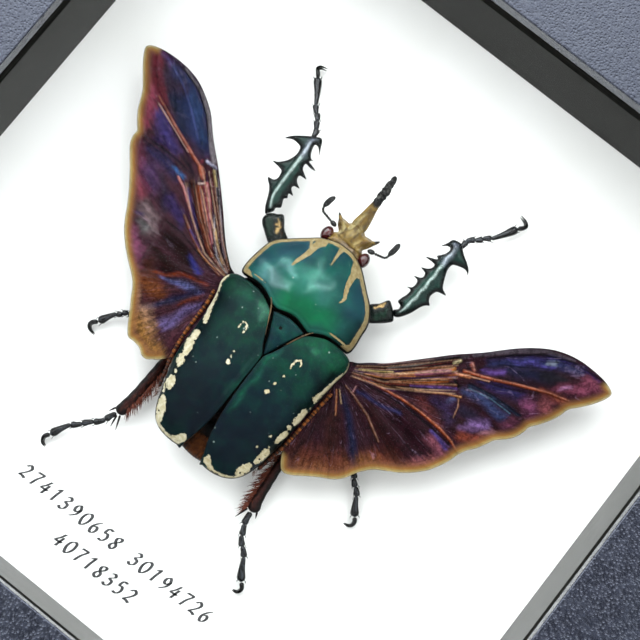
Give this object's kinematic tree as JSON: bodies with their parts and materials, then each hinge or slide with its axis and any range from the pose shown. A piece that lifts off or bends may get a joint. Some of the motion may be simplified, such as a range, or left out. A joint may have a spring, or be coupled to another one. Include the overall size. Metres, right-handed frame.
{
  "type": "framed beetle specimen",
  "caption": "Square shadow-box frame lying on its back, with a horned flower beetle, wings and legs spread, fixed to a white board behind clear glazing.",
  "frame": {"origin": "middle of the frame's back, on the surface that the frame lies on", "axes": "+X to the right as the numbers on the board read, +Y towards the top of the frame and the beetle's head, +Z out of the front through the glazing"},
  "size_m": [0.192, 0.192, 0.039],
  "materials": {
    "frame_paint": "dark slate paint, finely pebbled, satin",
    "spacer_wood": "grey stained wood, faint grain along its length",
    "glazing": "clear, clean",
    "white_board": "matt white, very fine tooth",
    "fibreboard": "brown fibreboard, matt",
    "zinc_plate": "zinc plated sheet, dull shine",
    "green_shell": "metallic green to blue-black shell with cream and ochre marks, soft shine",
    "brown_shell": "red-brown shell, satin",
    "ochre_shell": "ochre shell running to black on the horn",
    "eye": "dark red, glossy",
    "wing_membrane": "thin smoky membrane, purple, blue and amber sheen",
    "green_leg": "green-black shell with pale ridges",
    "black_leg": "black shell, satin",
    "bristle": "orange-brown hair",
    "ink": "grey printing ink"
  },
  "bodies": {
    "root": {"rail_top": "frame_paint", "rail_bottom": "frame_paint", "rail_left": "frame_paint", "rail_right": "frame_paint", "spacer_top": "spacer_wood", "spacer_bottom": "spacer_wood", "spacer_left": "spacer_wood", "spacer_right": "spacer_wood", "glazing_pane": "glazing", "mount_board": "white_board", "back_panel": "fibreboard", "back_tab_1": "zinc_plate", "back_tab_2": "zinc_plate", "back_tab_3": "zinc_plate", "back_tab_4": "zinc_plate", "back_tab_5": "zinc_plate", "back_tab_6": "zinc_plate", "back_tab_7": "zinc_plate", "back_tab_8": "zinc_plate", "hanger": "zinc_plate", "hanger_rivet_left": "zinc_plate", "hanger_rivet_right": "zinc_plate", "pronotum": "green_shell", "scutellum": "green_shell", "elytron_left": "green_shell", "elytron_right": "green_shell", "body": "brown_shell", "femur_mid_left": "brown_shell", "femur_mid_right": "brown_shell", "femur_hind_left": "brown_shell", "femur_hind_right": "brown_shell", "tibia_hind_left": "brown_shell", "tibia_hind_right": "brown_shell", "head": "ochre_shell", "eye_left": "eye", "eye_right": "eye", "hind_wing_left": "wing_membrane", "hind_wing_right": "wing_membrane", "femur_front_left": "green_leg", "femur_front_right": "green_leg", "tibia_front_left": "green_leg", "tibia_front_right": "green_leg", "antenna_left": "black_leg", "antenna_right": "black_leg", "tibia_mid_left": "black_leg", "tibia_mid_right": "black_leg", "tarsus_front_left": "black_leg", "tarsus_front_right": "black_leg", "tarsus_mid_left": "black_leg", "tarsus_mid_right": "black_leg", "tarsus_hind_left": "black_leg", "tarsus_hind_right": "black_leg"}
  },
  "joints": []
}
